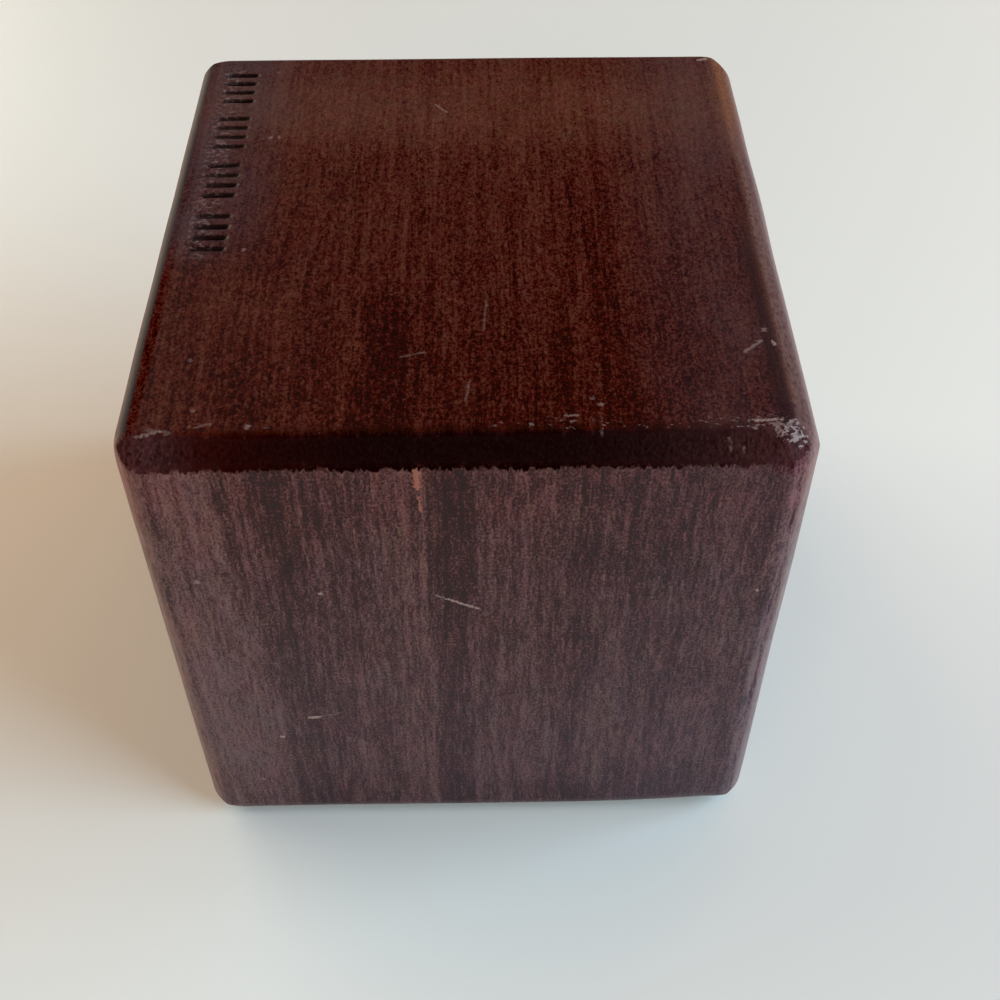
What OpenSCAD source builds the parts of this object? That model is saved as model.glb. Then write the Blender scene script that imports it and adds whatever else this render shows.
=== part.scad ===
// Wooden cube: one solid block of dark stained wood.
// The grain runs upwards, so the top and the bottom are end grain.
// Eleven of its edges are rounded over by hand, each to its own radius. The front edge of the top
// is planed to a flat instead, a little wider at the right, and the arrises of the flat are rubbed
// down. The eight corners are blunted.
// Origin: middle of the bottom face. +X is right, +Y is back, +Z is up.

/* [Block] */
// Width of the block, from left to right
block_w = 60; // [30:1:120]
// Depth of the block, from front to back
block_d = 64; // [30:1:120]
// Height of the block, along the grain
block_h = 59; // [30:1:120]

/* [Top edges] */
// Leg of the flat along the front edge, at its left end
front_leg_left = 2.1; // [0.6:0.1:4]
// Leg of the flat along the front edge, at its right end
front_leg_right = 2.3; // [0.6:0.1:4]
// Radius of the left edge, which is the tightest
left_round = 1.8; // [0.8:0.1:5]
// Radius of the right edge
right_round = 3.7; // [0.8:0.1:5]
// Radius of the back edge
back_round = 2.6; // [0.8:0.1:5]

/* [Upright edges] */
// Radius of the front left edge
front_left_round = 2.8; // [0.8:0.1:5]
// Radius of the front right edge
front_right_round = 3.7; // [0.8:0.1:5]
// Radius of the back left edge
back_left_round = 2.9; // [0.8:0.1:5]
// Radius of the back right edge
back_right_round = 3.2; // [0.8:0.1:5]

/* [Bottom edges] */
// Radius of the four edges round the bottom
bottom_round = 3; // [0.8:0.1:5]

/* [Rubbing down] */
// How deep the two arrises of the front flat are rubbed down
arris_rub = 0.1; // [0.02:0.02:0.2]
// How deep a corner is blunted, below the point where its three edges would meet
corner_blunt = 0.5; // [0.1:0.1:1]
// The same at the front right corner of the top, which has taken the most knocks
worn_corner_blunt = 0.8; // [0.1:0.1:1.5]

/* [Hidden] */

// Side of the square tool that cuts along a plane, longer than the block's diagonal
plane_tool = block_w + block_d + block_h;
// Facets of a whole turn where a round is drawn
$fn = 96;

// Radii of the edges, by the side that each lies on along its two axes: low side first, then high
UPRIGHT_ROUNDS = [[front_left_round, back_left_round], [front_right_round, back_right_round]];
LENGTHWAYS_ROUNDS = [[bottom_round, left_round], [bottom_round, right_round]];
CROSSWAYS_ROUNDS = [[bottom_round, 0], [bottom_round, back_round]];

// What a round takes off one corner of an outline, seen from the middle of the round
module corner_waste(radius, sides) {
    reach = 2 * radius;
    difference() {
        translate([min(sides[0], 0) * reach, min(sides[1], 0) * reach])
            square(reach);
        circle(radius);
    }
}

// A rectangle round the origin whose four corners each have a radius of their own
module outline(size, rounds) {
    difference() {
        square(size, center = true);
        for (i = [0, 1], j = [0, 1])
            if (rounds[i][j] > 0) {
                sides = [2 * i - 1, 2 * j - 1];
                translate([for (k = [0, 1]) sides[k] * (size[k] / 2 - rounds[i][j])])
                    corner_waste(rounds[i][j], sides);
            }
    }
}

// An outline carried right through the block, along its third axis
module bar(size, rounds) {
    linear_extrude(height = plane_tool, center = true)
        outline(size, rounds);
}

// The block with its eleven rounded edges: where three bars cross, one seen from above,
// one from the front and one from the side
module rounded_block() {
    translate([0, 0, block_h / 2])
        intersection() {
            linear_extrude(height = block_h, center = true)
                outline([block_w, block_d], UPRIGHT_ROUNDS);
            rotate([90, 0, 0])
                bar([block_w, block_h], LENGTHWAYS_ROUNDS);
            rotate([90, 0, 90])
                bar([block_d, block_h], CROSSWAYS_ROUNDS);
        }
}

// All the space beyond the plane that goes through a point and faces one way
module beyond(point, way) {
    translate(point)
        rotate([0, acos(way[2] / norm(way)), atan2(way[1], way[0])])
            translate([-plane_tool / 2, -plane_tool / 2, 0])
                cube(plane_tool);
}

// The two lines where the front flat meets the faces beside it, each as its left and right ends:
// first the one on the top, then the one on the front
FLAT_ARRISES = [
    [[-block_w / 2, front_leg_left - block_d / 2, block_h],
     [block_w / 2, front_leg_right - block_d / 2, block_h]],
    [[-block_w / 2, -block_d / 2, block_h - front_leg_left],
     [block_w / 2, -block_d / 2, block_h - front_leg_right]],
];
// The ways that the faces beside the front flat face: the top, then the front
FLAT_NEIGHBOURS = [[0, 0, 1], [0, -1, 0]];

// The way that the front flat faces, one unit long
function flat_out() =
    let (across = FLAT_ARRISES[1][0] - FLAT_ARRISES[0][0])
    let (along = FLAT_ARRISES[0][1] - FLAT_ARRISES[0][0])
    let (square = cross(across, along))
    square / norm(square);

// What the plane takes off the front edge: one flat cut
module flat_shaving() {
    beyond(FLAT_ARRISES[0][0], flat_out());
}

// What rubbing takes off the two arrises of the flat: at each, a flat that leans halfway
// between the first one and the face beside it
module arris_dust() {
    for (side = [0, 1]) {
        halfway = flat_out() + FLAT_NEIGHBOURS[side];
        lean = halfway / norm(halfway);
        beyond(FLAT_ARRISES[side][0] - lean * arris_rub, lean);
    }
}

// How far the middle of a rounded edge lies from each of the two faces beside it
function round_take(radius) = radius * (1 - sqrt(0.5));

// The same for the edge that runs across the block, where it ends on one side:
// the front one of the top is the flat
function crossways_take(i, j, k) =
    [j, k] == [0, 1] ? [front_leg_left, front_leg_right][i] / 2 : round_take(CROSSWAYS_ROUNDS[j][k]);

// What is taken off a corner, which is given as 0 for left, front or bottom on each axis and 1
// for right, back or top: its three edges would meet at the sum of their takes, counted along the
// three axes, and the cut lies deeper than that along the diagonal
module corner_chip(i, j, k) {
    blunt = [i, j, k] == [1, 0, 1] ? worn_corner_blunt : corner_blunt;
    reach = round_take(UPRIGHT_ROUNDS[i][j]) + round_take(LENGTHWAYS_ROUNDS[i][k])
        + crossways_take(i, j, k) + blunt * sqrt(3);
    sides = [2 * i - 1, 2 * j - 1, 2 * k - 1];
    place = [sides[0] * block_w / 2, sides[1] * block_d / 2, k * block_h];
    beyond(place - sides * reach / 3, sides);
}

// The whole block: rounded over, planed along the front of its top and blunted at its corners
module block() {
    color("#4b2320")
        difference() {
            rounded_block();
            flat_shaving();
            arris_dust();
            for (i = [0, 1], j = [0, 1], k = [0, 1])
                corner_chip(i, j, k);
        }
}

block();
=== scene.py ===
"""Looks of the wooden cube: one solid block of dark stained wood on a pale table.

Lengths are millimetres throughout, and only a finished mesh, a lamp or the camera is put into metres.
The block stands with its grain upwards, so its top and bottom are end grain.
"""

from __future__ import annotations

import logging
import math
from collections.abc import Callable
from dataclasses import asdict, dataclass
from enum import Enum
from functools import reduce
from typing import Any, Union

import bpy
import numpy as np
from mathutils import Matrix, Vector
from numpy.typing import NDArray

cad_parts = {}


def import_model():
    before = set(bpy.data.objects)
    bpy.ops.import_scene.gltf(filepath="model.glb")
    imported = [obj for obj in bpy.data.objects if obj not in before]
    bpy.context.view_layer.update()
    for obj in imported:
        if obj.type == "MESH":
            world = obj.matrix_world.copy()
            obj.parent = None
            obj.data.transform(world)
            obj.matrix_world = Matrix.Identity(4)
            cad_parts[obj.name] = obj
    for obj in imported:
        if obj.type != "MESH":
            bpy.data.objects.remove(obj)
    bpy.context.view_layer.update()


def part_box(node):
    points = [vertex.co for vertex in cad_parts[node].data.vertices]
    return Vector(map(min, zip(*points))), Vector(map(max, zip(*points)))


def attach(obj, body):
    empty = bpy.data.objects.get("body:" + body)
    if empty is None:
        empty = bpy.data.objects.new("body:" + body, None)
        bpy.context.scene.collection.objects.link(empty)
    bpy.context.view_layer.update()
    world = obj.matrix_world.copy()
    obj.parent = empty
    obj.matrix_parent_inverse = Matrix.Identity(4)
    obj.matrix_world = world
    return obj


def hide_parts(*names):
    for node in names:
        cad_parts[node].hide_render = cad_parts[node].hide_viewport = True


Array = NDArray[np.float64]
Triple = tuple[float, float, float]
Colour = tuple[float, float, float, float]
Pairs = tuple[tuple[float, float], tuple[float, float]]
Number = Union[float, "Wire"]

MM = 0.001
NODE = "block"
SLOT = "stained_wood"
LOG = logging.getLogger("wooden_cube")


# --- Numbers and shapes ---


def ripple(points: Array, wavelength: float, seed: int) -> Array:
    """Gentle waves over space: the mean of seven sines, scaled up to about one.

    The seed picks the direction, length and phase of each sine.

    Args:
        points: Places, one row each, in millimetres.
        wavelength: Typical length of a wave, in millimetres.
        seed: Number that picks the directions and phases.

    Returns:
        One value a place, mostly between -1 and 1.
    """
    draw = np.random.default_rng(seed)
    ways = draw.normal(size=(3, 7))
    ways /= np.linalg.norm(ways, axis=0)
    lengths = wavelength * draw.uniform(0.7, 1.6, size=7)
    phases = draw.uniform(0.0, 2.0 * math.pi, size=7)
    return np.sin(points @ (ways * 2.0 * math.pi / lengths) + phases).mean(axis=1) * 1.9


def soft_step(share: Array) -> Array:
    """Smooth step from 0 at 0 to 1 at 1: three squares less two cubes of the share."""
    share = np.clip(share, 0.0, 1.0)
    return share * share * (3.0 - 2.0 * share)


def dome(distance: Array) -> Array:
    """Round bump that is 1 at distance 0 and 0 from distance 1 on: (1 - distance squared) squared."""
    return np.clip(1.0 - distance**2, 0.0, 1.0) ** 2


def soft_max(first: Array, second: Array, blend: Array | float) -> Array:
    """Higher of two heights, with a round of its own where they cross.

    Where they differ by less than the blend, the square of what is left of it, over four times the
    blend, is added.

    Args:
        first: Heights, one a point.
        second: The other heights.
        blend: How far the round reaches, everywhere or at each point.

    Returns:
        The blended height of each point.
    """
    near = np.clip(blend - np.abs(first - second), 0.0, None)
    return np.maximum(first, second) + near**2 / (4.0 * blend)


def outline_height(places: Array, half: Array, radius: Array) -> Array:
    """How far places lie outside a rectangle with rounded corners.

    It is the distance from the smaller rectangle that the middles of the rounds span, less the radius.

    Args:
        places: Two coordinates each, counted from the middle of the rectangle.
        half: Half of its two sides.
        radius: Radius of the corner nearest to each place.

    Returns:
        The distance of each place, which is below 0 inside.
    """
    past = np.abs(places) - half + radius[:, None]
    outside = np.linalg.norm(np.clip(past, 0.0, None), axis=1)
    return outside + np.minimum(past.max(axis=1), 0.0) - radius


def box_skin(counts: tuple[int, int, int]) -> tuple[NDArray[np.int64], NDArray[np.int64]]:
    """The skin of a box lattice: six grids that share their borders, so the skin is closed.

    Args:
        counts: Number of lattice lines along X, Y and Z.

    Returns:
        The lattice place (i, j, k) of each skin point, and the four corners of each face, facing out.
    """
    skin = np.zeros(counts, dtype=bool)
    for axis in range(3):
        sheet = np.moveaxis(skin, axis, 0)
        sheet[0] = True
        sheet[-1] = True
    number = np.cumsum(skin).reshape(counts) - 1
    quads = []
    for axis in range(3):
        for end in (0, -1):
            sheet = number.take(end, axis=axis)
            corners = (sheet[:-1, :-1], sheet[1:, :-1], sheet[1:, 1:], sheet[:-1, 1:])
            quad = np.stack(corners, axis=-1).reshape(-1, 4)
            turned_out = (end == -1) != (axis == 1)
            quads.append(quad if turned_out else quad[:, ::-1])
    return np.argwhere(skin), np.concatenate(quads)


@dataclass(frozen=True)
class Edges:
    """What was taken off the edges by hand.

    The radii go by the side that an edge lies on along its two axes: low side first, then high.

    Attributes:
        upright: Radii of the edges along Z, by side along X, then along Y.
        lengthways: Radii of the edges along Y, by side along X, then along Z.
        crossways: Radii of the edges along X, by side along Y, then along Z; the front one of the
            top is planed to a flat instead.
        flat_legs: Leg of that flat at its left and right ends.
        flat_waver: How far the flat wanders inwards along its length.
        arris_blend: How far the two arrises of the flat are rounded.
        middle_blend: How much further it is rounded between them, where it runs out into the corners.
        corner_blunt: How deep each corner is blunted.
        worn_blunt: How deep the front right corner of the top is blunted.
        corner_blend: How far the borders of the blunting are rounded.
        foot_wear: How much more the front edge of the bottom is rounded at its right end.
        foot_span: Where that begins and where it is complete, along X.
        uneven: How much the radii change along the edges, as a share of them.
    """

    upright: Pairs = ((2.8, 2.9), (3.7, 3.2))
    lengthways: Pairs = ((3.0, 1.8), (3.0, 3.7))
    crossways: Pairs = ((3.0, 0.0), (3.0, 2.6))
    flat_legs: tuple[float, float] = (2.1, 2.3)
    flat_waver: float = 0.05
    arris_blend: float = 0.12
    middle_blend: float = 0.26
    corner_blunt: float = 0.5
    worn_blunt: float = 0.8
    corner_blend: float = 1.1
    foot_wear: float = 1.5
    foot_span: tuple[float, float] = (8.0, 28.0)
    uneven: float = 0.06


@dataclass(frozen=True)
class Nick:
    """A shallow hollow where wood is chipped or dented.

    Attributes:
        centre: Middle of the hollow.
        reach: Half its size along each axis.
        depth: How deep it goes.
    """

    centre: Triple
    reach: Triple
    depth: float

    def cut(self, points: Array) -> Array:
        """Depth taken off at each point: the depth times a dome over the stretched distance."""
        distance = np.linalg.norm((points - np.array(self.centre)) / np.array(self.reach), axis=1)
        return self.depth * dome(distance)


@dataclass(frozen=True)
class TallyRow:
    """A row of plain bars pressed into the top, in even groups, along its left side.

    Attributes:
        left: Where the bars begin along X.
        length: Length of a bar along X.
        first: Place of the first bar along Y.
        pitch: Step from bar to bar in a group.
        gap: Step from the last bar of a group to the first of the next.
        groups: How many groups there are.
        in_group: How many bars a group has.
        width: Width of a bar at the surface.
        depth: Depth of a bar.
    """

    left: float = -26.8
    length: float = 3.5
    first: float = -4.6
    pitch: float = 1.75
    gap: float = 3.5
    groups: int = 4
    in_group: int = 4
    width: float = 0.85
    depth: float = 0.3

    def bars(self) -> Array:
        """Places of the bars along Y.

        Returns:
            The places, from the front.
        """
        group = (self.in_group - 1) * self.pitch + self.gap
        starts = self.first + group * np.arange(self.groups)
        return (starts[:, None] + self.pitch * np.arange(self.in_group)).ravel()

    def stations(self) -> Array:
        """Lattice lines along Y that carry the bars: seven across each bar and two between bars."""
        across = self.width * np.array([-0.62, -0.4, -0.2, 0.0, 0.2, 0.4, 0.62])
        return (self.bars()[:, None] + across).ravel()

    def cut(self, points: Array, top: float) -> Array:
        """Depth taken off at each point: a groove with sloping sides and round ends, on the top face.

        Args:
            points: Places, one row each.
            top: Height of the top face.

        Returns:
            The depth at each place.
        """
        beside = np.abs(points[:, 1:2] - self.bars()).min(axis=1)
        middle = self.left + self.length / 2.0
        past_end = np.clip(np.abs(points[:, 0] - middle) - (self.length - self.width) / 2.0, 0.0, None)
        off = np.hypot(beside, past_end) / (self.width / 2.0)
        on_top = np.clip(1.0 - (top - points[:, 2]) / 0.5, 0.0, 1.0)
        uneven = 0.8 + 0.25 * ripple(points, wavelength=5.0, seed=11)
        return self.depth * uneven * on_top * np.clip(1.25 - 1.25 * off**2, 0.0, 1.0)


@dataclass
class Form:
    """The block's shape as a height over space: below 0 inside, and 0 on the surface.

    Attributes:
        half: Half the block's size along each axis.
        radii: Radius of the upright, lengthways and crossways edge that is nearest to each point.
        flat_way: The way that the front flat faces, one unit long.
        flat_reach: How far the flat lies from the block's middle, one value a point.
        flat_blend: How far the borders of the flat are rounded, one value a point.
        corner_ways: The way to each point's nearest corner, one unit long.
        corner_reach: How far that corner's blunting lies from the block's middle.
        corner_blend: How far the borders of that blunting are rounded.
    """

    half: Array
    radii: tuple[Array, Array, Array]
    flat_way: Array
    flat_reach: Array
    flat_blend: Array
    corner_ways: Array
    corner_reach: Array
    corner_blend: float

    def rounded(self, points: Array) -> Array:
        """Height over the rounded block alone: the highest of its three outlines.

        Args:
            points: Places, counted from the block's middle.

        Returns:
            The height at each place.
        """
        outlines = (
            outline_height(points[:, list(axes)], self.half[list(axes)], radius)
            for axes, radius in zip(((0, 1), (0, 2), (1, 2)), self.radii)
        )
        return np.maximum.reduce(list(outlines))

    def flat(self, points: Array) -> Array:
        """Height over the front flat alone: the reach of a place along the flat's way, less the flat's."""
        return points @ self.flat_way - self.flat_reach

    def height(self, points: Array) -> Array:
        """Height over the whole block: rounded, planed and blunted.

        It is the highest of the heights over the rounded block, the flat and the blunting of the
        nearest corner, with a round of its own where they cross.

        Args:
            points: Places, counted from the block's middle.

        Returns:
            The height at each place.
        """
        planed = soft_max(self.rounded(points), self.flat(points), self.flat_blend)
        corner = (points * self.corner_ways).sum(axis=1) - self.corner_reach
        return soft_max(planed, corner, self.corner_blend)

    def facing(self, points: Array) -> Array:
        """The way that the surface faces: the slope of the height along each axis.

        Args:
            points: Places on the surface, counted from the block's middle.

        Returns:
            The way at each place, one unit long.
        """
        shifts = 0.01 * np.eye(3)
        slope = [self.height(points + shift) - self.height(points - shift) for shift in shifts]
        return np.stack(slope, axis=1) / np.linalg.norm(slope, axis=0)[:, None]


@dataclass
class Block:
    """The solid block: its size, its worked edges, and what use has done to them.

    Attributes:
        size: Width, depth and height.
        edges: What was taken off its edges.
        tally: The row of bars pressed into its top.
        nicks: The hollows where wood is chipped off.
        core_margin: How far inside the faces the core lies that the skin is fanned out from.
        fan: How many lattice lines share the quarter turn over half an edge.
        pace: Step between lattice lines on the plain faces.
        halvings: How often the span is halved in which a point of the surface is sought.
        wear: How deep the faces are worn, unevenly.
        deep_chip: Depth of a chip that shows as a whole one.
    """

    size: Triple
    edges: Edges
    tally: TallyRow
    nicks: tuple[Nick, ...]
    core_margin: float = 4.6
    fan: int = 22
    pace: float = 1.3
    halvings: int = 30
    wear: float = 0.02
    deep_chip: float = 0.2

    def half(self) -> Array:
        """Half the block's size along each axis."""
        return np.array(self.size) / 2.0

    def stations(self, axis: int) -> Array:
        """Lattice lines along one axis, counted from the block's middle.

        Past the core they fan out evenly by angle, so that the worked edges are finely divided.

        Args:
            axis: 0, 1 or 2.

        Returns:
            The places of the lines, from the lowest to the highest.
        """
        inner = self.half()[axis] - self.core_margin
        fan = inner + self.core_margin * np.tan(np.linspace(0.0, math.pi / 4.0, self.fan))
        plain = np.linspace(-inner, inner, int(round(2.0 * inner / self.pace)) + 1)[1:-1]
        # Finer lines over the pressed bars stand in for the plain ones there
        if axis == 0:
            ends = np.linspace(self.tally.left - 0.3, self.tally.left + self.tally.length + 0.3, 15)
            plain = np.concatenate([plain[plain > ends[-1] + 0.4], ends[ends > -inner + 0.1]])
        if axis == 1:
            bars = self.tally.stations()
            clear = np.abs(plain[:, None] - bars).min(axis=1) > 0.35
            plain = np.concatenate([plain[clear], bars])
        return np.sort(np.concatenate([-fan, plain, fan]))

    def leg(self, points: Array) -> Array:
        """Leg of the front flat at each point: it widens evenly from its left end to its right end."""
        left, right = self.edges.flat_legs
        return left + (right - left) * (points[:, 0] / self.size[0] + 0.5)

    def snapped(self, points: Array) -> Array:
        """Moves the lattice lines next to the front flat onto its two arrises.

        The share of the margin that lies past an arris is stretched to a whole number of lattice
        lines, and the rest is squeezed, less and less away from the flat's edge.

        Args:
            points: Places on the box, counted from its middle.

        Returns:
            The moved places.
        """
        margin = self.core_margin
        inner = self.half() - margin
        arris = 1.0 - self.leg(points) / margin
        lines = np.tan(np.linspace(0.0, math.pi / 4.0, self.fan))
        line = lines[np.abs(lines - arris.mean()).argmin()]
        front = (-points[:, 1] - inner[1]) / margin
        upper = (points[:, 2] - inner[2]) / margin
        moved = points.copy()
        for share, other, axis, sign in ((upper, front, 2, 1.0), (front, upper, 1, -1.0)):
            below = share * arris / line
            above = 1.0 - (1.0 - share) * (1.0 - arris) / (1.0 - line)
            shift = np.where(share < line, below, above) - share
            near = np.clip(other, 0.0, 1.0) * (share > 0.0)
            moved[:, axis] += sign * margin * shift * near
        return moved

    def form(self, points: Array, core: Array) -> Form:
        """Works out the shape near each point.

        Args:
            points: Places on the box, counted from its middle.
            core: The point of the core that each of them is fanned out from, which says which edges
                and which corner it is near.

        Returns:
            The shape.
        """
        half, edges = self.half(), self.edges
        side = (core > 0.0).astype(int)
        hand = 1.0 + edges.uneven * ripple(core, wavelength=19.0, seed=5)
        tables = (edges.upright, edges.lengthways, edges.crossways)
        radii = [
            np.array(table)[side[:, first], side[:, second]] * hand
            for table, (first, second) in zip(tables, ((0, 1), (0, 2), (1, 2)))
        ]
        foot = (side[:, 1] == 0) & (side[:, 2] == 0)
        start, full = edges.foot_span
        radii[2] += foot * edges.foot_wear * np.clip((core[:, 0] - start) / (full - start), 0.0, 1.0) ** 2

        # The flat's plane holds the line along its upper arris and the slope from that to the lower
        # one. Between them the blend grows towards the edge of the box, where the flat was planed off
        left, right = edges.flat_legs
        across = np.array([0.0, -left, -left])
        along = np.array([self.size[0], right - left, 0.0])
        flat_way = np.cross(across, along)
        flat_way /= np.linalg.norm(flat_way)
        flat_reach = flat_way @ np.array([-half[0], left - half[1], half[2]])
        flat_reach = flat_reach - edges.flat_waver * (1.0 + ripple(core, wavelength=21.0, seed=3))
        off_edge = half[2] - points[:, 2] + half[1] + points[:, 1]
        between = soft_step(0.5 - off_edge / 1.4)

        # What the three edges take off a corner, counted along the axes: their takes together
        takes = sum((1.0 - math.sqrt(0.5)) * radius for radius in radii)
        takes = takes + (side[:, 1] == 0) * (side[:, 2] == 1) * self.leg(core) / 2.0
        worn = (side == (1, 0, 1)).all(axis=1)
        blunt = np.where(worn, edges.worn_blunt, edges.corner_blunt)
        corner_reach = (half.sum() - takes) / math.sqrt(3.0) - blunt
        return Form(
            half=half,
            radii=tuple(radii),
            flat_way=flat_way,
            flat_reach=flat_reach,
            flat_blend=edges.arris_blend + edges.middle_blend * between,
            corner_ways=(2.0 * side - 1.0) / math.sqrt(3.0),
            corner_reach=corner_reach,
            corner_blend=edges.corner_blend,
        )

    def skin(self) -> tuple[Array, NDArray[np.int64], dict[str, Array]]:
        """Works out the block's surface.

        Each point of the box lattice is fanned out from the core to where the height of the block's
        form is 0, found by halving, and is then let in by the wear, the nicks and the pressed bars.

        Returns:
            The points in millimetres, standing on the table, the faces, and what the finish reads:
            how much of the surface at each point is end grain, how far it lies inside the front
            flat, how much it is rounded, and how deep it is pressed and chipped.
        """
        half = self.half()
        lines = [self.stations(axis) for axis in range(3)]
        places, quads = box_skin(tuple(len(line) for line in lines))
        points = np.stack([lines[axis][places[:, axis]] for axis in range(3)], axis=1)
        points = self.snapped(points)
        core = np.clip(points, -half + self.core_margin, half - self.core_margin)
        form = self.form(points, core)
        ways = points - core
        inside, outside = np.zeros(len(points)), np.ones(len(points))
        for _ in range(self.halvings):
            middle = (inside + outside) / 2.0
            above = form.height(core + middle[:, None] * ways) > 0.0
            outside = np.where(above, middle, outside)
            inside = np.where(above, inside, middle)
        bare = core + inside[:, None] * ways
        facing = form.facing(bare)
        flat = form.flat(bare) - form.rounded(bare)
        surface = bare + np.array([0.0, 0.0, half[2]])

        worn = self.wear * np.clip(1.0 + ripple(surface, wavelength=23.0, seed=7), 0.0, None)
        pressed = self.tally.cut(surface, self.size[2])
        chipped = sum(nick.cut(surface) for nick in self.nicks)
        surface -= facing * (worn + pressed + chipped)[:, None]
        surface[:, 2] = np.maximum(surface[:, 2], 0.0)
        coats = {
            "end_grain": np.abs(facing[:, 2]),
            "flat": np.clip(flat, -3.0, 3.0),
            "rounded": (1.0 - np.abs(facing).max(axis=1)) / (1.0 - math.sqrt(0.5)),
            "pressed": pressed / self.tally.depth,
            "chipped": np.clip(chipped / self.deep_chip, 0.0, 1.0),
        }
        return surface, quads, coats

    def build(self) -> bpy.types.Object:
        """Makes the block's object, in metres, with its points' coats as mesh attributes.

        Returns:
            The object.
        """
        surface, quads, coats = self.skin()
        mesh = bpy.data.meshes.new("stained_block")
        mesh.from_pydata(surface * MM, [], quads.tolist())
        for name, values in coats.items():
            layer = mesh.attributes.new(name, "FLOAT", "POINT")
            layer.data.foreach_set("value", values.astype(np.float32))
        mesh.polygons.foreach_set("use_smooth", np.ones(len(quads), dtype=bool))
        mesh.update()
        piece = bpy.data.objects.new("stained_block", mesh)
        bpy.context.collection.objects.link(piece)
        return piece


# --- Shader sums ---


def operator(operation: str, mirrored: bool = False) -> Callable[..., Wire]:
    """Makes an operator of Wire, which adds one Math node.

    Args:
        operation: What the node does.
        mirrored: Whether the wire is its last term, as it is where a number stands on the left.

    Returns:
        The operator, as a method.
    """

    def method(wire: Wire, *others: Number) -> Wire:
        """Adds the node and gives its result."""
        return wire.works.math(operation, *((*others, wire) if mirrored else (wire, *others)))

    return method


@dataclass(frozen=True)
class Wire:
    """A value socket that Python reckons with: each operator adds one Math node."""

    works: NodeWorks
    socket: bpy.types.NodeSocket

    __add__ = operator("ADD")
    __radd__ = operator("ADD", mirrored=True)
    __sub__ = operator("SUBTRACT")
    __rsub__ = operator("SUBTRACT", mirrored=True)
    __mul__ = operator("MULTIPLY")
    __rmul__ = operator("MULTIPLY", mirrored=True)
    __truediv__ = operator("DIVIDE")
    __pow__ = operator("POWER")
    __abs__ = operator("ABSOLUTE")
    least = operator("MINIMUM")
    most = operator("MAXIMUM")

    def step(self, low: float, high: float) -> Wire:
        """Smooth step from 0 to 1 between two values of the wire.

        Args:
            low: Value at which it is 0.
            high: Value at which it is 1, which may be the lower of the two.

        Returns:
            The step.
        """
        node = self.works.add(
            "ShaderNodeMapRange",
            {"interpolation_type": "SMOOTHSTEP"},
            {"Value": self, "From Min": min(low, high), "From Max": max(low, high)},
        )
        rise = Wire(self.works, node.outputs["Result"])
        return rise if low <= high else 1.0 - rise


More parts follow.
